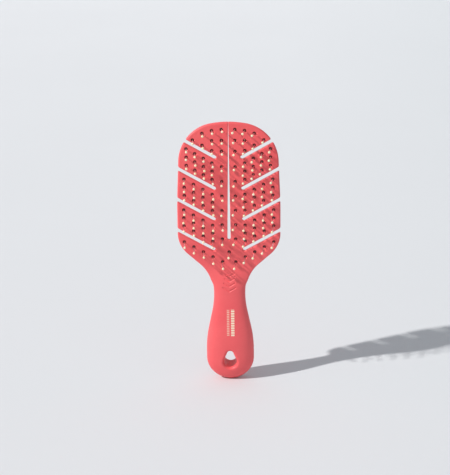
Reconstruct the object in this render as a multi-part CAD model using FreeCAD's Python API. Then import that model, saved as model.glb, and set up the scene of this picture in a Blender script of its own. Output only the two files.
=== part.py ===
"""Vented detangling hair brush with a leaf-shaped flexible head.

Frame: +Z runs up the brush from the end of the handle to the top of the head, the
bristles point to -Y, and X runs across. The origin is level with the end of the handle,
on the middle plane, midway between the frontmost and rearmost points. Units are
millimetres.

One moulding carries everything: a thick handle with a hanging hole, a neck, and a thin
arched head. A central slit and four slanted slots on each side cut the head into two
spines and eight fingers. The moulding is divided at the thin webs where it bends, so
that each finger, and the head as a whole, can turn. Every pin is a nylon pin of its own,
pressed into a stepped blind hole.
"""

import FreeCAD
import Part
import math
import os

V = FreeCAD.Vector

# Overall sizes
handle_length = 80.4    # end of the handle to the top of the neck
head_width = 72.4
handle_width = 34.0
neck_width = 22.3

# Side view: the whole brush is a shallow arch, its middle nearest the hair
arch_radius = 850.0
plate_thickness = 3.2

# Outline in the front view
end_trim = 0.3          # how far the small flat on the end cuts into the round end
bulb_rise = 0.4         # where the bulb's side starts to lean in, as a share of the handle
bulb_rounding = 0.3     # share of the shorter side beside a corner that its rounding takes up
waist_rise = 0.75       # where the leaning side meets the neck, as a share of the handle
waist_rounding = 0.34
neck_rounding = 0.64
shoulder_rise = 0.202   # corner of the shoulder, as a share of the head
shoulder_rounding = 0.29
side_rise = 0.49        # where the head's side starts to lean in, as a share of the head
side_lean = 2.2
side_rounding = 0.2
crown_drop = 4.8        # how far the head's upper corners lie below its top
corner_rounding = 0.78
crown_share = 0.16      # flat top before it is rounded, as a share of the head's width

# Slots
slot_width = 2.6
slot_angle = 29.0       # rise of each slot from its inner end to the rim
slot_root = 11.0        # centre of the lowest slots' round inner ends, from the middle
root_step = 0.45        # how much nearer the middle each next slot ends
slot_foot = 19.9        # from the top of the neck up to the lowest slots' inner ends
slot_pitch = 22.3
slot_count = 4
crown_land = 23.8       # from the top slots' line, beside the lowest ones' ends, to the top
finger_corner = 1.2     # rounding of a finger's outer corners
finger_corners_from = 15.5   # all of them lie further than this from the middle
slit_foot = 0.354       # centre of the slit's round lower end above the lowest slots, in pitches
slit_width_bottom = 2.5
slit_width_top = 0.25

# Handle depth to the front and to the back of the arch, at each height
end_half_depth = 2.2
grip_half_depth = 7.6
neck_front_depth = 4.4
neck_back_depth = 5.2
section_power = 2.5     # 2 is an ellipse, higher is squarer
section_points = 24
grip_full_share = 0.35  # the grip keeps its full depth over this share of the handle
back_most = 15.0        # height of the handle's rearmost point
rib_gap = 3.0           # the neck's thickness has run out this far below the lowest slots
rib_taper = 0.2         # share of the neck's width that the rib has lost there
rib_sunk = 0.2          # how far the ends of the rib lie under the plate's faces
front_fade = 0.8        # share of the rib's height over which its front runs out
end_sections = 6
grip_sections = 6
rib_sections = 6

# Hanging hole, a round lower part that narrows to a small round top
hole_low = 15.6
hole_low_radius = 4.7
hole_high = 22.0
hole_high_radius = 2.3
hole_rim = 1.5

# Pins, in columns across each half
column_first = 4.7
column_rim_gap = 4.7     # from the last column to the head's side
column_count = 5
finger_row_share = 0.26   # distance between a finger's rows, in slot pitches
finger_row_middle = 0.52  # the middle row above the slot below it, in slot pitches
spine_pin_foot = 0.336   # the lowest spine pins above the lowest slots, in pitches
spine_pin_share = 0.4664 # distance between them
spine_pin_count = 6
shoulder_row_drop = 5.9  # below the lowest slots' lines
centre_pin_drop = 2.0    # below the lowest slots' inner ends
crown_counts = (3, 3, 2, 1)   # pins in each column above the top slots
crown_margin = 4.9       # from the rim to the top row
crown_row_gap = 3.8      # from the top slot's line to the row above it
crown_inner_gap = 7.0    # the same, beside the central slit
pin_reach = 15.0         # from the front face to the top of the ball
pin_root_radius = 0.6
pin_base_radius = 0.52
pin_neck_radius = 0.4
pin_ball_radius = 0.85
pin_collar = 0.5         # height of the taper where the root meets the shaft
pin_lean = 3.5           # degrees, towards the middle of the brush
well_radius = 1.15
well_depth = 1.2
socket_floor = 0.7       # plastic left behind the socket

# Webs where the moulding bends
web_inner_gap = 3.0      # the fingers' webs start this far inside the lowest slots' inner ends
web_width = 2.2
crown_web_foot = 1.85    # the webs of the top fingers start this far below the slots' ends
crown_web_height = 2.6
neck_web_gap = 0.1       # between the top of the neck and its web
neck_web_share = 0.05    # height of the neck's web, as a share of the head

# Helpers
far = 60.0               # past every face of the brush
sliver = 0.01            # smallest straight piece left between two roundings
half_width = head_width / 2
half_plate = plate_thickness / 2
head_length = slot_foot + (slot_count - 1) * slot_pitch + crown_land
length = handle_length + head_length
slot_slope = math.tan(math.radians(slot_angle))
lowest_slot = handle_length + slot_foot
slit_bottom = lowest_slot + slit_foot * slot_pitch
column_step = (half_width - column_first - column_rim_gap) / (column_count - 1)
socket_depth = plate_thickness - well_depth - socket_floor
rib_top = lowest_slot - rib_gap
plate_foot = handle_length * (1 - neck_rounding * (1 - waist_rise))  # the neck widens above it
web_inner = slot_root - web_inner_gap
web_outer = web_inner + web_width
neck_web_low = handle_length + neck_web_gap
neck_web_high = neck_web_low + neck_web_share * head_length


def arch_drop(z):
    """How far the arch's middle surface at height z stands in front of its two ends."""
    return z * (length - z) / (2 * arch_radius)


def arch(z):
    """Y of the arch's middle surface at height z, with the whole brush centred on Y = 0."""
    front = arch_drop(length / 2) + half_plate + pin_reach
    back = grip_half_depth - arch_drop(back_most)
    return (front - back) / 2 - arch_drop(z)


def arch_normal(z):
    """Unit vector out of the front face at height z."""
    slope = (z - length / 2) / arch_radius
    return V(0, -1, slope).normalize()


def slot_line(k, x):
    """Height of the middle of slot k (1 is the lowest) at a distance x from the middle."""
    return lowest_slot + (k - 1) * slot_pitch + (abs(x) - slot_root) * slot_slope


def slot_end(k):
    """Distance from the middle to the centre of slot k's round inner end."""
    return slot_root - (k - 1) * root_step


def rounded(corners):
    """Closed wire in the XZ plane through (x, z, share) corners.

    Each corner's rounding takes up that share of the shorter side beside it.
    """
    points = [V(x, 0, z) for x, z, share in corners]
    ends = []
    for i, (x, z, share) in enumerate(corners):
        here = points[i]
        before = points[i - 1] - here
        after = points[(i + 1) % len(points)] - here
        reach = share * min(before.Length, after.Length)
        before.normalize()
        after.normalize()
        half = before.getAngle(after) / 2
        radius = reach * math.tan(half)
        middle = here + (before + after).normalize() * (radius / math.sin(half) - radius)
        ends.append((here + before * reach, middle, here + after * reach))
    edges = []
    for i, (start, middle, end) in enumerate(ends):
        edges.append(Part.Arc(start, middle, end).toShape())
        edges.append(Part.LineSegment(end, ends[(i + 1) % len(ends)][0]).toShape())
    return Part.Wire(edges)


def prism(wire, y_low=-far, y_high=far):
    """The wire's face, drawn in the XZ plane, as a prism from y_low to y_high."""
    face = Part.Face(wire)
    face.translate(V(0, y_low, 0))
    return face.extrude(V(0, y_high - y_low, 0))


def outline_wire():
    """The brush in the front view, from its right half."""
    bulb_top = bulb_rise * handle_length
    half_crown = crown_share * half_width
    half_end = handle_width / 2
    end_rounding = (half_end - sliver) / min(handle_width, bulb_top + end_trim)
    crown_rounding = (half_crown - sliver) / (2 * half_crown)
    right = [
        (half_end, -end_trim, end_rounding),
        (half_end, bulb_top, bulb_rounding),
        (neck_width / 2, waist_rise * handle_length, waist_rounding),
        (neck_width / 2, handle_length, neck_rounding),
        (half_width, handle_length + shoulder_rise * head_length, shoulder_rounding),
        (half_width, handle_length + side_rise * head_length, side_rounding),
        (half_width - side_lean, length - crown_drop, corner_rounding),
        (half_crown, length, crown_rounding),
    ]
    left = [(-x, z, share) for x, z, share in reversed(right)]
    return rounded(right + left)


def width_at(outline, z):
    """Half-width of the outline at height z."""
    line = Part.LineSegment(V(0, 0, z), V(far, 0, z)).toShape()
    return outline.common(line).BoundBox.XMax


def slab():
    """The arch as a curved sheet of the plate's thickness, wider than the brush."""
    centre = V(0, arch(length / 2) + arch_radius, length / 2)

    def cylinder(radius):
        return Part.makeCylinder(radius, 2 * far, centre - V(far, 0, 0), V(1, 0, 0))

    return cylinder(arch_radius + half_plate).cut(cylinder(arch_radius - half_plate))


def slots():
    """The eight slanted slots as one cutter."""
    cutters = []
    for k in range(1, slot_count + 1):
        for side in (1, -1):
            reach = far / math.cos(math.radians(slot_angle))
            bar = Part.makeBox(reach, 2 * far, slot_width, V(0, -far, -slot_width / 2))
            end = Part.makeCylinder(slot_width / 2, 2 * far, V(0, -far, 0), V(0, 1, 0))
            cutter = bar.fuse(end)
            cutter.rotate(V(0, 0, 0), V(0, 1, 0), -slot_angle)
            cutter.translate(V(slot_end(k), 0, slot_line(k, slot_end(k))))
            if side < 0:
                cutter = cutter.mirror(V(0, 0, 0), V(1, 0, 0))
            cutters.append(cutter)
    return cutters[0].fuse(cutters[1:])


def slit():
    """The central slit, open at the top and rounded at its lower end."""
    low = slit_width_bottom / 2
    high = slit_width_top / 2
    tip = V(0, 0, slit_bottom - low)
    corners = [V(low, 0, slit_bottom), V(high, 0, length), V(high, 0, length + far),
               V(-high, 0, length + far), V(-high, 0, length), V(-low, 0, slit_bottom)]
    edges = [Part.LineSegment(a, b).toShape() for a, b in zip(corners, corners[1:])]
    edges.append(Part.Arc(corners[-1], tip, corners[0]).toShape())
    return prism(Part.Wire(edges))


def section(z, width, front, back):
    """Superellipse across the brush at height z, as a closed smooth wire."""
    points = []
    for i in range(section_points):
        turn = 2 * math.pi * i / section_points
        c = math.cos(turn)
        s = math.sin(turn)
        x = width * math.copysign(abs(c) ** (2 / section_power), c)
        depth = back if s > 0 else front
        y = depth * math.copysign(abs(s) ** (2 / section_power), s)
        points.append(V(x, arch(z) + y, z))
    curve = Part.BSplineCurve()
    curve.interpolate(points, PeriodicFlag=True)
    return Part.Wire([curve.toShape()])


def ease(t):
    """Smooth step from 0 to 1."""
    t = min(max(t, 0.0), 1.0)
    return t * t * (3 - 2 * t)


def handle_solid(outline):
    """Handle and neck, running out as a low rib behind the head's plate."""
    grip_low = handle_width / 2
    grip_full_to = grip_full_share * handle_length
    waist = (waist_rise + 1) / 2 * handle_length
    hidden = half_plate - rib_sunk
    wires = []
    # The round end
    for i in range(end_sections + 1):
        turn = math.pi / 2 * i / end_sections
        z = grip_low * (1 - math.cos(turn))
        depth = end_half_depth + (grip_half_depth - end_half_depth) * math.sin(turn)
        wires.append(section(z, width_at(outline, z), depth, depth))
    # The grip thins to the neck above its widest part
    for i in range(1, grip_sections + 1):
        z = grip_low + (waist - grip_low) * i / grip_sections
        thinning = ease((z - grip_full_to) / (waist - grip_full_to))
        front = grip_half_depth + (neck_front_depth - grip_half_depth) * thinning
        back = grip_half_depth + (neck_back_depth - grip_half_depth) * thinning
        wires.append(section(z, width_at(outline, z), front, back))
    # Above the neck the front drops into the plate and the back runs out as a rib
    for i in range(1, rib_sections + 1):
        step = i / rib_sections
        front = neck_front_depth + (hidden - neck_front_depth) * ease(step / front_fade)
        back = neck_back_depth + (hidden - neck_back_depth) * ease(step)
        width = neck_width / 2 * (1 - rib_taper * step ** 2)
        wires.append(section(waist + (rib_top - waist) * step, width, front, back))
    return Part.makeLoft(wires, True, False)


def pear(grow):
    """The hanging hole's outline, larger by grow all round, from its round part's centre."""
    rise = hole_high - hole_low
    big = hole_low_radius + grow
    small = hole_high_radius + grow
    lean = math.asin((big - small) / rise)
    right = V(math.cos(lean), 0, math.sin(lean))
    left = V(-right.x, 0, right.z)
    high = V(0, 0, rise)
    return Part.Wire([
        Part.Arc(right * big, V(0, 0, -big), left * big).toShape(),
        Part.LineSegment(left * big, high + left * small).toShape(),
        Part.Arc(high + left * small, V(0, 0, rise + small), high + right * small).toShape(),
        Part.LineSegment(high + right * small, right * big).toShape(),
    ])


def hanging_hole():
    """Pear-shaped cutter square to the handle, with a chamfered rim on both faces."""
    cutter = prism(pear(0))
    for face in (-1, 1):
        outer = face * grip_half_depth
        inner_wire = pear(0)
        outer_wire = pear(hole_rim)
        inner_wire.translate(V(0, outer - face * hole_rim, 0))
        outer_wire.translate(V(0, outer, 0))
        rim = Part.makeLoft([inner_wire, outer_wire], True, True)
        clear = prism(pear(hole_rim), *sorted((outer, outer + face * hole_rim)))
        cutter = cutter.fuse([rim, clear])
    turn = FreeCAD.Rotation(V(0, -1, 0), arch_normal(hole_low))
    cutter.Placement = FreeCAD.Placement(V(0, arch(hole_low), hole_low), turn)
    return cutter


def crown_height(outline, x):
    """Height of the outline's upper edge at x."""
    line = Part.LineSegment(V(x, 0, length / 2), V(x, 0, length + far)).toShape()
    return outline.common(line).BoundBox.ZMax


def finger_columns(outline, k, first):
    """Distances from the middle of the pin columns between slot k and the next."""
    side = width_at(outline, slot_line(k, half_width) + slot_pitch / 2)
    gaps = column_count - 2
    step = (side - column_rim_gap - first) / gaps
    return [first + i * step for i in range(gaps + 1)]


def pin_places(outline):
    """Pin group name to its (x, z) places."""
    columns = [column_first + i * column_step for i in range(column_count)]
    groups = {"shoulder": [(0.0, lowest_slot - centre_pin_drop)]}
    for side, word in ((-1, "left"), (1, "right")):
        rises = [spine_pin_foot + i * spine_pin_share for i in range(spine_pin_count)]
        groups["spine_" + word] = [(side * columns[0], lowest_slot + rise * slot_pitch)
                                   for rise in rises]
        groups["shoulder"] += [(side * x, slot_line(1, x) - shoulder_row_drop) for x in columns]
        for finger in range(2, slot_count + 1):
            k = slot_count + 1 - finger
            rows = [slot_pitch * (finger_row_middle + n * finger_row_share) for n in (1, 0, -1)]
            groups[f"{word}_{finger}"] = [(side * x, slot_line(k, x) + row)
                                          for row in rows
                                          for x in finger_columns(outline, k, columns[1])]
        crown = []
        for x, count in zip(columns, crown_counts):
            gap = crown_inner_gap if x == columns[0] else crown_row_gap
            low = slot_line(slot_count, x) + gap
            high = crown_height(outline, x) - crown_margin
            steps = [n / max(count - 1, 1) for n in range(count)]
            crown += [(side * x, low + (high - low) * s) for s in steps]
        groups[f"{word}_1"] = crown
    return groups


def pin_frame(x, z):
    """Point on the front face at (x, z), and the pin's direction there."""
    out = arch_normal(z)
    face = V(x, arch(z), z) + out * half_plate
    lean = math.copysign(pin_lean, x) if x else 0.0
    direction = FreeCAD.Rotation(V(0, 0, 1), lean).multVec(out)
    return face, direction


def placed(shape, x, z):
    """Moves a shape made along +Z, with the front face at 0, onto the front face at (x, z)."""
    face, direction = pin_frame(x, z)
    shape.Placement = FreeCAD.Placement(face, FreeCAD.Rotation(V(0, 0, 1), direction))
    return shape


def pin(x, z):
    """One nylon pin: a root in the socket, a tapered shaft and a ball."""
    bottom = -(well_depth + socket_depth)
    root_top = -well_depth
    ball = pin_reach - pin_ball_radius
    neck = ball - math.sqrt(pin_ball_radius ** 2 - pin_neck_radius ** 2)
    top = V(0, 0, pin_reach)
    side = V(pin_ball_radius, 0, ball)
    corners = [
        V(0, 0, bottom),
        V(pin_root_radius, 0, bottom),
        V(pin_root_radius, 0, root_top),
        V(pin_base_radius, 0, root_top + pin_collar),
        V(pin_neck_radius, 0, neck),
    ]
    edges = [Part.LineSegment(a, b).toShape() for a, b in zip(corners, corners[1:])]
    edges.append(Part.Arc(corners[-1], side, top).toShape())
    edges.append(Part.LineSegment(top, corners[0]).toShape())
    profile = Part.Face(Part.Wire(edges))
    return placed(profile.revolve(V(0, 0, 0), V(0, 0, 1), 360), x, z)


def pin_hole(x, z):
    """The stepped blind hole that a pin stands in: a wide well over a tight socket."""
    well = Part.makeCylinder(well_radius, well_depth + half_plate, V(0, 0, -well_depth))
    socket = Part.makeCylinder(pin_root_radius, socket_depth + well_depth / 2,
                               V(0, 0, -well_depth - socket_depth))
    return placed(well.fuse(socket), x, z)


def region(corners):
    """Prism over a polygon of (x, z) corners."""
    points = [V(x, 0, z) for x, z in corners]
    return prism(Part.makePolygon(points + points[:1]))


def finger_region(side, finger, x_low, x_high):
    """Where finger number finger lies between two distances from the middle."""
    k = slot_count + 1 - finger
    return region([(side * x_low, slot_line(k, x_low)), (side * x_high, slot_line(k, x_high)),
                   (side * x_high, slot_line(k + 1, x_high)), (side * x_low, slot_line(k + 1, x_low))])


def crown_region(side, base):
    """Above the top slot, and above height base between the slot and the middle."""
    meet = slot_root + (base - slot_line(slot_count, slot_root)) / slot_slope
    top = length + far
    return region([(0, base), (side * meet, base), (side * far, slot_line(slot_count, far)),
                   (side * far, top), (0, top)])


def cut_fingers(plate):
    """Divides the slotted head into fingers, webs and the frame that is left."""
    parts = {}
    frame = plate
    top_end = slot_end(slot_count)
    crown_web_low = slot_line(slot_count, top_end) - crown_web_foot
    crown_web_high = crown_web_low + crown_web_height
    for side, word in ((-1, "left"), (1, "right")):
        crown = crown_region(side, crown_web_high)
        web = region([(0, crown_web_low), (side * slot_root, crown_web_low),
                      (side * slot_root, crown_web_high), (0, crown_web_high)])
        low_cut = finger_region(side, 2, web_inner, far)
        parts[f"finger_{word}_1"] = plate.common(crown)
        parts[f"web_{word}_1"] = plate.common(web).cut(crown.fuse(low_cut))
        frame = frame.cut(crown.fuse([web, low_cut]))
        for finger in range(2, slot_count + 1):
            blade = plate.common(finger_region(side, finger, web_outer, far))
            strip = plate.common(finger_region(side, finger, web_inner, web_outer))
            if finger == 2:
                blade = blade.cut(crown)
                strip = strip.cut(crown)
            parts[f"finger_{word}_{finger}"] = blade
            parts[f"web_{word}_{finger}"] = strip
            frame = frame.cut(finger_region(side, finger, web_inner, far))
    parts["head_frame"] = frame
    return parts


def round_corners(shape):
    """Rounds the outer corners of a finger, where the slots and the slit meet the rim."""
    edges = []
    for edge in shape.Edges:
        box = edge.BoundBox
        middle = box.Center
        through = box.YLength > plate_thickness / 2 and max(box.XLength, box.ZLength) < half_plate / 2
        on_rim = abs(middle.x) > finger_corners_from
        at_slit = abs(middle.x) < slit_width_bottom and middle.z > length - crown_drop
        if through and (on_rim or at_slit):
            edges.append(edge)
    return shape.makeFillet(finger_corner, edges) if edges else shape


def build():
    outline = Part.Face(outline_wire())
    plate = slab().common(prism(outline.OuterWire))
    plate = plate.common(Part.makeBox(2 * far, 2 * far, length, V(-far, -far, plate_foot)))
    plate = plate.cut(slots().fuse(slit()))
    body = handle_solid(outline).cut(hanging_hole()).fuse(plate).removeSplitter()

    def band(low, high):
        return body.common(Part.makeBox(2 * far, 2 * far, high - low, V(-far, -far, low)))

    parts = cut_fingers(band(neck_web_high, length + far))
    parts["handle"] = band(-far, neck_web_low)
    parts["neck_web"] = band(neck_web_low, neck_web_high)
    for name in [n for n in parts if n.startswith("finger_")]:
        parts[name] = round_corners(parts[name])

    places = pin_places(outline)
    for group, points in places.items():
        holder = "head_frame" if group.startswith(("spine", "shoulder")) else "finger_" + group
        holes = [pin_hole(x, z) for x, z in points]
        parts[holder] = parts[holder].cut(Part.Compound(holes))
        parts["pins_" + group] = Part.Compound([pin(x, z) for x, z in points])
    return parts


def main():
    os.makedirs("parts", exist_ok=True)
    for name, shape in sorted(build().items()):
        solids = shape.Solids
        shape = solids[0] if len(solids) == 1 else Part.Compound(solids)
        shape.exportStep(os.path.join("parts", name + ".step"))
        box = shape.BoundBox
        print(f"{name:18s} solids {len(solids):3d} valid {shape.isValid()} volume {shape.Volume:9.1f}"
              f"  x {box.XMin:6.1f} {box.XMax:6.1f}  y {box.YMin:6.1f} {box.YMax:6.1f}"
              f"  z {box.ZMin:6.1f} {box.ZMax:6.1f}")


main()
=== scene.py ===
import math

import bpy
import numpy as np
from mathutils import Matrix, Vector


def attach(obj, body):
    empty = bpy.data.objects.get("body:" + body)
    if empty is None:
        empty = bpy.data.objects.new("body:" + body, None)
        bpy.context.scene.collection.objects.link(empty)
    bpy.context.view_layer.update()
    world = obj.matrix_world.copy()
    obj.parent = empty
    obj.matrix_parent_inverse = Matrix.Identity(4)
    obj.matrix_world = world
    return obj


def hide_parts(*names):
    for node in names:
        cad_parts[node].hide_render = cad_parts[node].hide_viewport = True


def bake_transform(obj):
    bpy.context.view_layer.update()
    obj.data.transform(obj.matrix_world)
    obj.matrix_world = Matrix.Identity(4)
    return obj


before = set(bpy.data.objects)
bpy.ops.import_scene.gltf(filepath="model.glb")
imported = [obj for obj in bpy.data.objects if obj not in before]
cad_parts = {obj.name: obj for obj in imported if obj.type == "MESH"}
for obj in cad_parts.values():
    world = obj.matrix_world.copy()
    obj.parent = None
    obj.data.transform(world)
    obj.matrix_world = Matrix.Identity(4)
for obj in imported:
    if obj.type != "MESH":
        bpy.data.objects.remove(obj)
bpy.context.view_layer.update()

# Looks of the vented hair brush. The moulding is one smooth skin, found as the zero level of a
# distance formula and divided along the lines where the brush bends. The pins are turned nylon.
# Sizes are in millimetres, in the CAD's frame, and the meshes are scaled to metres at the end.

MM = 0.001
rng = np.random.default_rng(7)

# ---------------------------------------------------------------- sizes

handle_length = 80.4
head_length = 110.6
length = handle_length + head_length
head_width = 72.4
handle_width = 34.0
neck_width = 22.3
arch_radius = 850.0
plate_thickness = 3.2
rim_rounding = 1.25          # edge of the head all round
slot_rounding = 0.7          # edges of the slots
slit_rounding = 0.2          # edges of the slit, which is nearly closed at the top

# Outline: corners from the end of the handle to the crown, as (x, z, share of the shorter
# side beside the corner that its rounding takes up). The first is rounded to a half circle.
crown_half = 0.16 * head_width / 2
outline_corners = [
    (handle_width / 2, 0.0, handle_width / 2 / (0.4 * handle_length)),
    (handle_width / 2, 0.4 * handle_length, 0.3),
    (neck_width / 2, 0.75 * handle_length, 0.34),
    (neck_width / 2, handle_length, 0.64),
    (head_width / 2, handle_length + 0.202 * head_length, 0.29),
    (head_width / 2, handle_length + 0.49 * head_length, 0.2),
    (head_width / 2 - 2.2, length - 4.8, 0.78),
    (crown_half, length, 1.0),
]

slot_width = 2.6
slot_angle = math.radians(29.0)
slot_root = 11.0             # centre of the lowest slots' round inner ends, from the middle
root_step = 0.45             # how much nearer the middle each next slot ends
lowest_slot = handle_length + 19.9
slot_pitch = 22.3
slot_count = 4
slit_bottom = lowest_slot + 0.354 * slot_pitch
slit_width_bottom = 2.3
slit_width_top = 0.1

grip_depth = 7.6
neck_front = 4.4
neck_back = 5.2
waist = 0.875 * handle_length   # where the neck is thinnest
grip_full_to = 0.35 * handle_length
rib_top = lowest_slot - 3.0
rib_taper = 0.2
rib_sunk = 0.2               # how far the ends of the rib lie under the plate's faces
front_fade = 0.8             # share of the rib's height over which its front runs out
plate_start = waist + 2.0    # the plate's skin starts inside the neck,
plate_inset = 1.6            # narrower by this on each side,
plate_inset_from = 71.0      # and widens to the outline over the next few millimetres
plate_inset_over = 7.0
join_most = 2.1              # filling where the handle meets the plate,
join_least = 0.1             # which fades out before the rib's top
join_fade_below = 16.0
join_fade_over = 14.0
section_power = 2.5
back_most = 15.0

hole_low = 15.6
hole_low_radius = 4.7
hole_high = 22.0
hole_high_radius = 2.3
hole_rounding = 2.0

chevron_foot = 69.5          # four small V grooves on the front of the neck
chevron_step = 3.6
chevron_count = 4
chevron_width = 0.9
chevron_depth = 0.35
chevron_edge = 0.4           # width of a groove's sloping side
chevron_slope = 0.6
chevron_cosine = 0.86        # of the angle of that slope
chevron_reach = 4.6          # half-length of the lowest groove across the neck
chevron_narrowing = 0.5      # each next one reaches less far

pin_reach = 15.0
pin_lean = 3.5
pin_scatter = 1.3            # spread of the pins' directions, in degrees
cream_from = 3.0             # the clear shaft turns cream this far below the top of the ball
well_radius = 1.15
well_depth = 1.2
well_rounding = 0.25
well_painted_shade_fade = 0.5        # depth over which the painted shade in a well darkens
well_painted_shade_edge = 0.3        # the same across its rim
column_first = 4.7           # from the middle to the spine pins
column_rim_gap = 4.7         # from the last column to the rim
column_gaps = 4
column_step = (head_width / 2 - (column_first + column_rim_gap)) / column_gaps
columns = [column_first + column_step * i for i in range(column_gaps + 1)]
finger_rows = [slot_pitch * (0.52 + n * 0.26) for n in (1, 0, -1)]
spine_pins = [lowest_slot + (0.336 + 0.4664 * i) * slot_pitch for i in range(6)]
shoulder_row_drop = 5.9
centre_pin_height = lowest_slot - 2.0
crown_margin = 4.9
crown_row_gap = 3.8
crown_inner_gap = 7.0
crown_counts = (3, 3, 2, 1)  # pins in each column above the top slots

# Where the skin is divided, and where it bends
finger_seam = 8.4
crown_seam = 163.8

step = 0.33   # size of the skin's faces

half_plate = plate_thickness / 2
half_width = head_width / 2
slope = math.tan(slot_angle)


# ---------------------------------------------------------------- the moulding as a formula

def arch_drop(z):
    return z * (length - z) / (2 * arch_radius)


arch_front = arch_drop(length / 2) + half_plate + pin_reach
arch_back = grip_depth - arch_drop(back_most)
arch_centre = (arch_front - arch_back) / 2


def arch(z):
    """Y of the moulding's middle surface at height z."""
    return arch_centre - arch_drop(z)


def arch_slope(z):
    return (z - length / 2) / arch_radius


def slot_line(k, x):
    """Height of the middle of slot k (1 is the lowest) at a distance x from the middle."""
    return lowest_slot + (k - 1) * slot_pitch + (np.abs(x) - slot_root) * slope


def ease(t):
    t = np.clip(t, 0.0, 1.0)
    return t * t * (3 - 2 * t)


def round_and(a, b, r):
    """Where both distances are negative, with the edge between them rounded to radius r."""
    return np.minimum(-r, np.maximum(a, b)) + np.hypot(np.maximum(a + r, 0), np.maximum(b + r, 0))


def soft_or(a, b, r):
    """Where either distance is negative, with the inner corner between them filled."""
    h = np.maximum(r - np.abs(a - b), 0) / r
    return np.minimum(a, b) - h * h * r / 4


def outline_path():
    """Lines and arcs of the outline's right half, from the end of the handle to the crown."""
    lines, arcs = [], []
    at = np.array([0.0, 0.0])
    stops = [at] + [np.array(c[:2]) for c in outline_corners] + [np.array([0.0, length])]
    for i, (*_, share) in enumerate(outline_corners, 1):
        corner = stops[i]
        before, after = stops[i - 1] - corner, stops[i + 1] - corner
        if i == 1:
            before = before * 2
        sizes = np.linalg.norm(before), np.linalg.norm(after)
        before, after = before / sizes[0], after / sizes[1]
        half = math.acos(float(before @ after)) / 2
        reach = share * min(sizes)
        r = reach * math.tan(half)
        start, end = corner + before * reach, corner + after * reach
        middle = before + after
        middle /= np.linalg.norm(middle)
        centre = corner + middle * (r / math.sin(half))
        lines.append((at, start))
        arcs.append((centre, r, -middle, math.pi / 2 - half))
        at = end
    lines.append((at, stops[-1]))
    return lines, arcs


def width_table(lines, arcs):
    """Half-width of the outline against height, for telling inside from outside."""
    points = []
    for (a, b), arc in zip(lines, arcs + [None]):
        points += [a, b]
        if arc:
            centre, r, middle, half = arc
            facing = math.atan2(middle[1], middle[0])
            turns = facing + np.linspace(-half, half, 81)
            points += [centre + r * np.array([math.cos(t), math.sin(t)]) for t in turns]
    points = np.array(points)
    order = np.argsort(points[:, 1], kind="stable")
    return points[order, 1], points[order, 0]


LINES, ARCS = outline_path()
WIDTH_Z, WIDTH_X = width_table(LINES, ARCS)


def outline_width(z):
    return np.interp(z, WIDTH_Z, WIDTH_X)


def outline_distance(x, z):
    """Signed distance to the outline, negative inside."""
    px, pz = np.abs(x), z
    nearest = np.full(np.broadcast(px, pz).shape, 1e9)
    for a, b in LINES:
        run = b - a
        size = float(run @ run)
        if size < 1e-9:
            continue
        t = np.clip(((px - a[0]) * run[0] + (pz - a[1]) * run[1]) / size, 0, 1)
        nearest = np.minimum(nearest, np.hypot(px - a[0] - t * run[0], pz - a[1] - t * run[1]))
    for centre, r, middle, half in ARCS:
        dx, dz = px - centre[0], pz - centre[1]
        away = np.hypot(dx, dz) + 1e-9
        faces = (dx * middle[0] + dz * middle[1]) / away >= math.cos(half)
        nearest = np.where(faces, np.minimum(nearest, np.abs(away - r)), nearest)
    inside = (px < outline_width(pz)) & (pz > 0) & (pz < length)
    return np.where(inside, -nearest, nearest)


def slots_distance(x, z):
    """Distance to the nearest slot, negative inside one."""
    px = np.abs(x)
    best = np.full(np.broadcast(px, z).shape, 1e9)
    for k in range(1, slot_count + 1):
        root = slot_root - (k - 1) * root_step
        dx, dz = px - root, z - slot_line(k, root)
        along = np.maximum(dx * math.cos(slot_angle) + dz * math.sin(slot_angle), 0)
        off = np.hypot(dx - along * math.cos(slot_angle), dz - along * math.sin(slot_angle))
        best = np.minimum(best, off - slot_width / 2)
    return best


def slit_distance(x, z):
    up = np.clip((z - slit_bottom) / (length - slit_bottom), 0, 1)
    half = (slit_width_bottom + (slit_width_top - slit_width_bottom) * up) / 2
    return np.hypot(x, np.maximum(slit_bottom - z, 0)) - half


def crown_height(x):
    """Height of the crown's edge at x."""
    zs = np.linspace(length - 30, length, 400)
    return float(np.interp(-x, -outline_width(zs), zs))


def pin_places():
    """Pin group to its (x, z) places, as in the CAD."""
    groups = {"shoulder": [(0.0, centre_pin_height)]}
    for side, word in ((-1, "left"), (1, "right")):
        groups["spine_" + word] = [(side * columns[0], z) for z in spine_pins]
        groups["shoulder"] += [(side * x, float(slot_line(1, x)) - shoulder_row_drop) for x in columns]
        for finger in range(2, slot_count + 1):
            k = slot_count + 1 - finger
            rim = float(outline_width(slot_line(k, half_width) + slot_pitch / 2)) - column_rim_gap
            across = np.linspace(columns[1], rim, column_gaps)
            groups[f"{word}_{finger}"] = [(side * x, float(slot_line(k, x)) + row)
                                          for row in finger_rows for x in across]
        crown = []
        for x, count in zip(columns, crown_counts):
            gap = crown_inner_gap if x == columns[0] else crown_row_gap
            low = float(slot_line(slot_count, x)) + gap
            high = crown_height(x) - crown_margin
            shares = [n / max(count - 1, 1) for n in range(count)]
            crown += [(side * x, low + (high - low) * s) for s in shares]
        groups[f"{word}_1"] = crown
    return groups


PINS = pin_places()
WELLS = np.array([place for places in PINS.values() for place in places])


def well_offset(x, z):
    """Distance in the front view to the nearest pin's axis."""
    nearest = np.full(np.broadcast(x, z).shape, 1e9)
    for wx, wz in WELLS:
        nearest = np.minimum(nearest, np.hypot(x - wx, z - wz))
    return nearest


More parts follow.
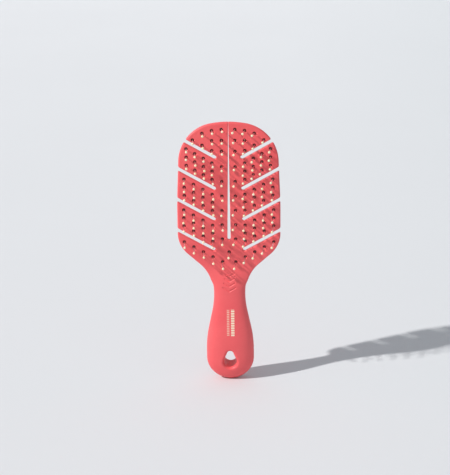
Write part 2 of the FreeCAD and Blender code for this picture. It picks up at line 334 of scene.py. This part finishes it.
def plan(x, z):
    """All that depends only on the place in the front view."""
    neck = ease((z - waist) / (rib_top - waist))
    grip = ease((z - grip_full_to) / (waist - grip_full_to))
    rib = 1 - rib_taper * np.clip((z - waist) / (rib_top - waist), 0, 1) ** 2
    hidden = half_plate - rib_sunk
    front = grip_depth + (neck_front - grip_depth) * grip
    back = grip_depth + (neck_back - grip_depth) * grip
    front_fading = ease((z - waist) / (front_fade * (rib_top - waist)))
    end = handle_width / 2
    across = np.where(z < end, np.hypot(x, z - end) / end,
                      np.abs(x) / np.where(z < waist, outline_width(z), neck_width / 2 * rib))
    return {
        "x": x,
        "z": z,
        "edge": outline_distance(x, z),
        "slots": slots_distance(x, z),
        "slit": slit_distance(x, z),
        "well": well_offset(x, z),
        "across": across,
        "chevrons": chevron_depth * ease(0.5 - chevron_distance(x, z) / chevron_edge),
        "front": np.where(z > waist, front + (hidden - front) * front_fading, front),
        "back": np.where(z > waist, back + (hidden - back) * neck, back),
    }


def chevron_distance(x, z):
    """Distance to the grooves' edges, negative inside one."""
    px = np.abs(x)
    best = np.full(np.broadcast(px, z).shape, 1e9)
    for n in range(chevron_count):
        rise = z - chevron_foot - n * chevron_step - chevron_slope * px
        off = np.abs(rise) * chevron_cosine - chevron_width / 2
        best = np.minimum(best, np.maximum(off, px - chevron_reach + chevron_narrowing * n))
    return best


def hole_distance(x, z):
    """Distance to the hanging hole's pear outline."""
    rise = hole_high - hole_low
    lean = (hole_low_radius - hole_high_radius) / rise
    upright = math.sqrt(1 - lean * lean)
    px, pz = np.abs(x), z - hole_low
    along = -px * lean + pz * upright
    low = np.hypot(px, pz) - hole_low_radius
    high = np.hypot(px, pz - rise) - hole_high_radius
    side = px * upright + pz * lean - hole_low_radius
    return np.where(along < 0, low, np.where(along > upright * rise, high, side))


def moulding(p, t):
    """Signed distance to the moulding's surface, t in front of (negative) or behind its arch."""
    depth = np.where(t < 0, p["front"], p["back"])
    n = section_power
    gauge = (p["across"] ** n + (np.abs(t) / depth) ** n) ** (1 / n)
    handle = (gauge - 1) * np.minimum(depth, neck_width / 2)
    handle = np.maximum(handle, p["z"] - rib_top - 1)
    inset = plate_inset * (1 - ease((p["z"] - plate_inset_from) / plate_inset_over))
    plate = round_and(p["edge"] + inset, np.abs(t) - half_plate, rim_rounding)
    plate = np.maximum(plate, plate_start - p["z"])
    fading = ease((p["z"] - rib_top + join_fade_below) / join_fade_over)
    solid = soft_or(handle, plate, join_least + join_most * (1 - fading)) + np.where(t < 0, p["chevrons"], 0)
    solid = round_and(solid, -p["slots"], slot_rounding)
    solid = round_and(solid, -p["slit"], slit_rounding)
    tilt = arch_slope(hole_low)
    solid = round_and(solid, -hole_distance(p["x"], p["z"] + t * tilt), hole_rounding)
    well = np.maximum(p["well"] - well_radius, t + half_plate - well_depth)
    return round_and(solid, -well, well_rounding)


# ---------------------------------------------------------------- from formula to mesh

def surface_nets(values):
    """Quads near the zero level of a grid of values: their points in grid steps, and corners."""
    inside = values < 0
    shape = np.array(values.shape) - 1
    count = np.zeros(shape, np.uint8)
    corners = [(i, j, k) for i in (0, 1) for j in (0, 1) for k in (0, 1)]
    for i, j, k in corners:
        count += inside[i:i + shape[0], j:j + shape[1], k:k + shape[2]]
    cells = np.argwhere((count > 0) & (count < 8))
    total = np.zeros((len(cells), 3))
    hits = np.zeros(len(cells))
    for a in corners:
        for axis in range(3):
            if a[axis]:
                continue
            b = tuple(c + (n == axis) for n, c in enumerate(a))
            va = values[tuple((cells + a).T)]
            vb = values[tuple((cells + b).T)]
            crosses = (va < 0) != (vb < 0)
            share = np.where(crosses, va / np.where(crosses, va - vb, 1), 0)
            place = np.array(a, float) + share[:, None] * np.eye(3)[axis]
            total += np.where(crosses[:, None], place, 0)
            hits += crosses
    points = cells + total / hits[:, None]
    number = np.full(shape, -1, np.int64)
    number[tuple(cells.T)] = np.arange(len(cells))
    quads = []
    for axis in range(3):
        b, c = (axis + 1) % 3, (axis + 2) % 3
        ahead = np.roll(inside, -1, axis)
        crossing = inside != ahead
        for n in range(3):
            edge = [slice(None)] * 3
            edge[n] = slice(-1, None)
            crossing[tuple(edge)] = False
            if n != axis:
                edge[n] = slice(0, 1)
                crossing[tuple(edge)] = False
        at = np.argwhere(crossing)
        out = inside[tuple(at.T)]
        ring = []
        for db, dc in ((0, 0), (1, 0), (1, 1), (0, 1)):
            cell = at.copy()
            cell[:, b] -= db
            cell[:, c] -= dc
            ring.append(number[tuple(cell.T)])
        ring = np.stack(ring, 1)
        ring[~out] = ring[~out][:, ::-1]
        quads.append(ring)
    return points, cells, np.concatenate(quads)


def field(points):
    """The moulding's distance at points given as (x, t, z)."""
    return moulding(plan(points[:, 0], points[:, 2]), points[:, 1])


def gradient(points, reach=0.04):
    out = np.empty_like(points)
    for axis in range(3):
        shift = np.zeros(3)
        shift[axis] = reach
        out[:, axis] = (field(points + shift) - field(points - shift)) / (2 * reach)
    return out


def settle(points, locked, rounds=3):
    """Moves points onto the zero level, along its gradient but not along a locked axis."""
    for _ in range(rounds):
        g = np.where(locked, 0, gradient(points))
        size = np.maximum((g * g).sum(1), 0.05)
        move = -g * (field(points) / size)[:, None]
        far = np.linalg.norm(move, axis=1, keepdims=True)
        points = points + move * np.minimum(1, 0.5 * step / np.maximum(far, 1e-9))
    return points


def seam_locks(cells, low):
    """Marks the points to be laid exactly on a seam: beside the fingers and under the crown."""
    x = low[0] + (cells[:, 0] + 0.5) * step
    z = low[2] + (cells[:, 2] + 0.5) * step
    locked = np.zeros((len(cells), 3), bool)
    beside = np.abs(np.abs(x) - finger_seam) <= step / 2
    locked[:, 0] = beside & (z > slot_line(1, finger_seam)) & (z < slot_line(slot_count, finger_seam))
    locked[:, 2] = (np.abs(z - crown_seam) <= step / 2) & (np.abs(x) < finger_seam)
    return locked


def make_skin():
    """The whole moulding: points (x, y, z), normals and quads in millimetres, and the
    painted shade of each point, which is 1 down in the wells.
    """
    margin = 3 * step
    low = np.array([-half_width, -grip_depth, 0.0]) - margin
    high = np.array([half_width, grip_depth, length]) + margin
    low[0] = -step * math.ceil(-low[0] / step)      # so that one layer lies in the slit
    axes = [np.arange(a, b, step) for a, b in zip(low, high)]
    gx, gz = np.meshgrid(axes[0], axes[2], indexing="ij")
    flat = plan(gx, gz)
    values = np.stack([moulding(flat, t).astype(np.float32) for t in axes[1]], axis=1)
    points, cells, quads = surface_nets(values)
    points = low + points * step
    locked = seam_locks(cells, low)
    points[:, 0] = np.where(locked[:, 0], np.sign(points[:, 0]) * finger_seam, points[:, 0])
    points[:, 2] = np.where(locked[:, 2], crown_seam, points[:, 2])
    points = settle(points, locked)
    # Painted shade: points down in the pin wells get a shade of up to 1, which the plastic turns near black.
    sunk = points[:, 1] + half_plate
    beside = well_offset(points[:, 0], points[:, 2]) - well_radius
    dark = np.clip(sunk / well_painted_shade_fade, 0, 1) * np.clip(0.5 - beside / well_painted_shade_edge, 0, 1)
    shade = dark * (sunk < well_depth + well_rounding)
    normals = gradient(points)
    normals[:, 2] -= normals[:, 1] * arch_slope(points[:, 2])
    normals /= np.linalg.norm(normals, axis=1, keepdims=True)
    points[:, 1] += arch(points[:, 2])
    return points, normals, quads, shade


def part_of_skin(points, quads):
    """Which piece each quad belongs to: 0 for the frame, else side * finger number."""
    centre = points[quads].mean(1)
    x, z = centre[:, 0], centre[:, 2]
    part = np.zeros(len(quads), int)
    crown = np.where(np.abs(x) < finger_seam, z > crown_seam, z > slot_line(slot_count, x))
    part[crown] = 1
    for finger in range(2, slot_count + 1):
        k = slot_count + 1 - finger
        here = (np.abs(x) > finger_seam) & (z > slot_line(k, x)) & (z <= slot_line(k + 1, x))
        part[here & ~crown] = finger
    return part * np.where(x < 0, -1, 1)


def mesh_object(name, points, quads, normals=None, shade=None):
    """A mesh object in metres, smooth shaded, with normals and a shade of 0 to 1 if given."""
    used, corner = np.unique(quads, return_inverse=True)
    corner = corner.reshape(quads.shape)
    mesh = bpy.data.meshes.new(name)
    mesh.vertices.add(len(used))
    mesh.vertices.foreach_set("co", (points[used] * MM).astype(np.float32).ravel())
    mesh.loops.add(corner.size)
    mesh.loops.foreach_set("vertex_index", corner.astype(np.int32).ravel())
    mesh.polygons.add(len(corner))
    sides = corner.shape[1]
    mesh.polygons.foreach_set("loop_start", np.arange(0, corner.size, sides, dtype=np.int32))
    mesh.polygons.foreach_set("use_smooth", np.ones(len(corner), bool))
    mesh.update(calc_edges=True)
    mesh.validate()
    if normals is not None:
        mesh.normals_split_custom_set_from_vertices(normals[used].astype(np.float32))
    if shade is not None:
        layer = mesh.attributes.new("shade", "FLOAT", "POINT")
        layer.data.foreach_set("value", shade[used].astype(np.float32))
    obj = bpy.data.objects.new(name, mesh)
    bpy.context.scene.collection.objects.link(obj)
    return obj


# ---------------------------------------------------------------- materials

class Shader:
    """A node material: node() adds a node, link() joins sockets."""

    def __init__(self, name):
        self.material = bpy.data.materials.new(name)
        self.material.use_nodes = True
        self.tree = self.material.node_tree
        self.bsdf = self.tree.nodes["Principled BSDF"]

    def node(self, kind, inputs=None, **settings):
        made = self.tree.nodes.new(kind)
        for key, value in settings.items():
            setattr(made, key, value)
        for key, value in (inputs or {}).items():
            if isinstance(value, bpy.types.NodeSocket):
                self.tree.links.new(value, made.inputs[key])
            else:
                made.inputs[key].default_value = value
        return made

    def math(self, operation, a, b=0.0, clamp=False):
        return self.node("ShaderNodeMath", {0: a, 1: b}, operation=operation, use_clamp=clamp).outputs[0]

    def noise(self, vector, scale, detail=3.0, roughness=0.5):
        return self.node("ShaderNodeTexNoise", {"Vector": vector, "Scale": scale, "Detail": detail,
                                                "Roughness": roughness}).outputs["Fac"]

    def span(self, value, low, high, out_low, out_high):
        return self.node("ShaderNodeMapRange", {"Value": value, "From Min": low, "From Max": high,
                                                "To Min": out_low, "To Max": out_high}).outputs[0]

    def mix(self, share, a, b):
        made = self.node("ShaderNodeMix", data_type="RGBA")
        for socket, value in ((made.inputs[0], share), (made.inputs[6], a), (made.inputs[7], b)):
            if isinstance(value, bpy.types.NodeSocket):
                self.tree.links.new(value, socket)
            else:
                socket.default_value = value
        return made.outputs[2]

    def link(self, socket, name):
        self.tree.links.new(socket, self.bsdf.inputs[name])


def printed_bars(s, where):
    """Mask of two columns of plain bars printed up the front of the handle, the left one fainter."""
    place = s.node("ShaderNodeSeparateXYZ", {"Vector": where}).outputs
    facing = s.node("ShaderNodeSeparateXYZ", {"Vector": s.node("ShaderNodeNewGeometry").outputs["Normal"]})
    front = s.math("LESS_THAN", facing.outputs["Y"], -0.3)
    up = s.math("COMPARE", place["Z"], 0.046)
    up.node.inputs[2].default_value = 0.010
    columns = []
    for middle, half, pitch, filled, strength in ((0.0021, 0.0012, 0.0018, 0.72, 1.0),
                                                  (-0.0012, 0.0009, 0.0013, 0.55, 0.6)):
        column = s.math("COMPARE", place["X"], middle)
        column.node.inputs[2].default_value = half
        bar = s.math("LESS_THAN", s.math("FRACT", s.math("DIVIDE", place["Z"], pitch)), filled)
        columns.append(s.math("MULTIPLY", s.math("MULTIPLY", column, bar), strength))
    both = s.math("ADD", *columns)
    return s.math("MULTIPLY", s.math("MULTIPLY", both, up), front)


def plastic_material():
    """Matte coral plastic: mottling, flecks, fine grain, printed bars, and painted shade in the wells."""
    s = Shader("coral_plastic")
    where = s.node("ShaderNodeTexCoord").outputs["Object"]
    mottle = s.noise(where, 28.0, 4.0, 0.55)
    fleck = s.noise(where, 900.0, 2.0, 0.6)
    tone = s.mix(s.span(mottle, 0.3, 0.7, 0.0, 1.0), (0.85, 0.100, 0.112, 1), (0.93, 0.135, 0.142, 1))
    tone = s.mix(s.span(fleck, 0.62, 0.8, 0.0, 0.25), tone, (0.95, 0.30, 0.26, 1))
    tone = s.mix(printed_bars(s, where), tone, (0.95, 0.78, 0.58, 1))
    # Painted shade: the base colour is mixed towards near black down in the pin wells.
    painted_well_shade = s.node("ShaderNodeAttribute", attribute_name="shade").outputs["Fac"]
    s.link(s.mix(painted_well_shade, tone, (0.10, 0.008, 0.016, 1)), "Base Color")
    s.link(s.span(mottle, 0.3, 0.7, 0.40, 0.50), "Roughness")
    grain = s.noise(where, 2600.0, 3.0, 0.6)
    swell = s.noise(where, 90.0, 2.0, 0.5)
    height = s.math("ADD", s.math("MULTIPLY", grain, 0.25), s.math("MULTIPLY", swell, 1.0))
    bump = s.node("ShaderNodeBump", {"Height": height, "Strength": 0.25, "Distance": 0.0002})
    s.link(bump.outputs["Normal"], "Normal")
    s.bsdf.inputs["Specular IOR Level"].default_value = 0.45
    return s.material


def nylon_material():
    """Nylon pins: a shade of 0 is the nearly clear shaft, and 1 the cream ball."""
    s = Shader("cream_nylon")
    where = s.node("ShaderNodeTexCoord").outputs["Object"]
    cloud = s.noise(where, 350.0, 2.0, 0.5)
    ball = s.node("ShaderNodeAttribute", attribute_name="shade").outputs["Fac"]
    cream = s.mix(s.span(cloud, 0.3, 0.7, 0.0, 1.0), (0.95, 0.80, 0.52, 1), (0.98, 0.88, 0.66, 1))
    s.link(s.mix(ball, (0.97, 0.80, 0.74, 1), cream), "Base Color")
    s.link(s.span(ball, 0.0, 1.0, 0.92, 0.0), "Transmission Weight")
    s.bsdf.inputs["IOR"].default_value = 1.12
    s.link(s.span(cloud, 0.3, 0.7, 0.28, 0.40), "Roughness")
    grain = s.noise(where, 3000.0, 2.0, 0.5)
    bump = s.node("ShaderNodeBump", {"Height": grain, "Strength": 0.1, "Distance": 0.0001})
    s.link(bump.outputs["Normal"], "Normal")
    s.bsdf.inputs["Subsurface Weight"].default_value = 0.35
    s.bsdf.inputs["Subsurface Radius"].default_value = (0.0015, 0.0010, 0.0006)
    s.bsdf.inputs["Subsurface Scale"].default_value = 1.0
    return s.material


def floor_material():
    """Pale paper, a little uneven, with painted shade darkening it towards the right."""
    s = Shader("pale_floor")
    where = s.node("ShaderNodeTexCoord").outputs["Object"]
    cloud = s.noise(where, 3.0, 2.0, 0.5)
    paper = s.mix(s.span(cloud, 0.3, 0.7, 0.0, 1.0), (0.730, 0.742, 0.762, 1), (0.740, 0.752, 0.772, 1))
    # Painted shade: the paper colour is mixed towards a darker grey to the right.
    across = s.node("ShaderNodeSeparateXYZ", {"Vector": where}).outputs["X"]
    s.link(s.mix(s.span(across, 0.05, 0.6, 0.0, 1.0), paper, (0.655, 0.685, 0.705, 1)), "Base Color")
    s.bsdf.inputs["Roughness"].default_value = 0.9
    s.bsdf.inputs["Specular IOR Level"].default_value = 0.2
    return s.material


# ---------------------------------------------------------------- pieces

def make_moulding(material):
    """The frame and the eight fingers, each divided from the one skin."""
    points, normals, quads, shade = make_skin()
    part = part_of_skin(points, quads)
    skin = mesh_object("moulded_frame", points, quads[part == 0], normals, shade)
    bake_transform(skin)
    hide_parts("handle", "neck_web", "head_frame")
    made = [skin]
    for side, word in ((-1, "left"), (1, "right")):
        for finger in range(1, slot_count + 1):
            piece = mesh_object(f"moulded_finger_{word}_{finger}", points,
                                quads[part == side * finger], normals, shade)
            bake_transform(piece)
            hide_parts(f"finger_{word}_{finger}", f"web_{word}_{finger}")
            made.append(piece)
    for piece in made:
        piece.data.materials.append(material)


def pin_profile():
    """Radius and height of a pin, from inside its well to the top of the ball."""
    shaft = [(0.50, -well_depth), (0.48, -0.9), (0.42, -0.55), (0.38, 0.0), (0.35, 4.0), (0.32, 9.0),
             (0.30, pin_reach - 2.6)]
    ball_radius, ball_height = 0.85, 1.05
    centre = pin_reach - ball_height
    turns = np.radians(np.linspace(-62, 90, 9))
    ball = [(ball_radius * math.cos(a), centre + ball_height * math.sin(a)) for a in turns]
    return shaft + ball


def make_pins(material):
    """Every pin leans a little towards the middle, and no two point quite the same way."""
    profile = pin_profile()
    around = 14
    turn = 2 * math.pi * np.arange(around) / around
    for group, places in PINS.items():
        points, quads, shade = [], [], []
        for x, z in places:
            slope_here = arch_slope(z)
            out = Vector((0, -1, slope_here)).normalized()
            tip = math.radians(pin_lean) * (-1 if x > 0 else 1 if x < 0 else 0)
            spread = np.radians(rng.normal(0, pin_scatter, 2))
            aim = Vector((math.sin(tip + spread[0]), out.y, out.z + spread[1])).normalized()
            side = aim.cross(Vector((0, 0, 1))).normalized()
            up = side.cross(aim)
            root = Vector((x, arch(z), z)) + out * half_plate
            first = len(points)
            for radius, height in profile[:-1]:
                centre = root + aim * height
                shade += [min(max(height - pin_reach + cream_from, 0.0), 1.0)] * around
                for a in turn:
                    points.append(centre + side * (radius * math.cos(a)) + up * (radius * math.sin(a)))
            points.append(root + aim * profile[-1][1])
            shade.append(1.0)
            for ring in range(len(profile) - 2):
                for n in range(around):
                    a = first + ring * around + n
                    b = first + ring * around + (n + 1) % around
                    quads.append((a, b, b + around, a + around))
            top, last = len(points) - 1, first + (len(profile) - 2) * around
            for n in range(0, around, 2):
                quads.append((last + n, last + n + 1, last + (n + 2) % around, top))
        piece = mesh_object("nylon_pins_" + group, np.array([tuple(p) for p in points]), np.array(quads),
                            shade=np.array(shade))
        piece.data.materials.append(material)
        body = "head" if group.startswith(("spine", "shoulder")) else "finger_" + group
        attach(piece, body)
        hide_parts("pins_" + group)


# ---------------------------------------------------------------- stage, light and camera

camera_distance = 1.10
camera_azimuth = 2.0
camera_pitch = 18.0
camera_roll = -0.66
camera_lens = 118.6
camera_aim = (-0.0028, 0.0, 0.1094)


def make_camera():
    azimuth, pitch, roll = (math.radians(a) for a in (camera_azimuth, camera_pitch, camera_roll))
    back = Vector((math.sin(azimuth) * math.cos(pitch), -math.cos(azimuth) * math.cos(pitch),
                   math.sin(pitch)))
    right = Vector((math.cos(azimuth), math.sin(azimuth), 0))
    up = back.cross(right)
    turned_right = right * math.cos(roll) + up * math.sin(roll)
    turned_up = up * math.cos(roll) - right * math.sin(roll)
    data = bpy.data.cameras.new("camera")
    data.lens = camera_lens
    data.clip_start, data.clip_end = 0.05, 20.0
    camera = bpy.data.objects.new("camera", data)
    bpy.context.scene.collection.objects.link(camera)
    place = Vector(camera_aim) + back * camera_distance
    camera.matrix_world = Matrix((turned_right, turned_up, back)).transposed().to_4x4()
    camera.location = place
    bpy.context.scene.camera = camera


def make_light():
    """A crisp key from high on the left, nearly along the face, and a soft fill all round."""
    travel = Vector((1.0, 0.53, -0.95)).normalized()
    data = bpy.data.lights.new("key", "SUN")
    data.energy = 3.05
    data.angle = math.radians(1.5)
    data.color = (1.0, 0.985, 0.965)
    key = bpy.data.objects.new("key", data)
    key.rotation_euler = travel.to_track_quat("-Z", "Y").to_euler()
    bpy.context.scene.collection.objects.link(key)
    world = bpy.data.worlds.new("fill")
    world.use_nodes = True
    world.node_tree.nodes["Background"].inputs["Color"].default_value = (0.90, 0.94, 1.0, 1)
    world.node_tree.nodes["Background"].inputs["Strength"].default_value = 0.42
    bpy.context.scene.world = world
    bpy.context.scene.view_settings.view_transform = "Standard"


def make_floor(material):
    """A level floor that curves up into a backdrop far behind."""
    width, near, far_back, rise, bend = 8000.0, -3500.0, 2600.0, 3000.0, 700.0
    profile = [(near, 0.0), (0.0, 0.0), (far_back - bend, 0.0)]
    for a in np.linspace(0, math.pi / 2, 13)[1:]:
        profile.append((far_back - bend + bend * math.sin(a), bend - bend * math.cos(a)))
    profile.append((far_back, rise))
    points = np.array([(x, y, z) for y, z in profile for x in (-width / 2, width / 2)])
    quads = np.array([(2 * i, 2 * i + 1, 2 * i + 3, 2 * i + 2) for i in range(len(profile) - 1)])
    floor = mesh_object("floor", points, quads)
    floor.data.materials.append(material)


make_camera()
make_light()
make_floor(floor_material())
make_moulding(plastic_material())
make_pins(nylon_material())
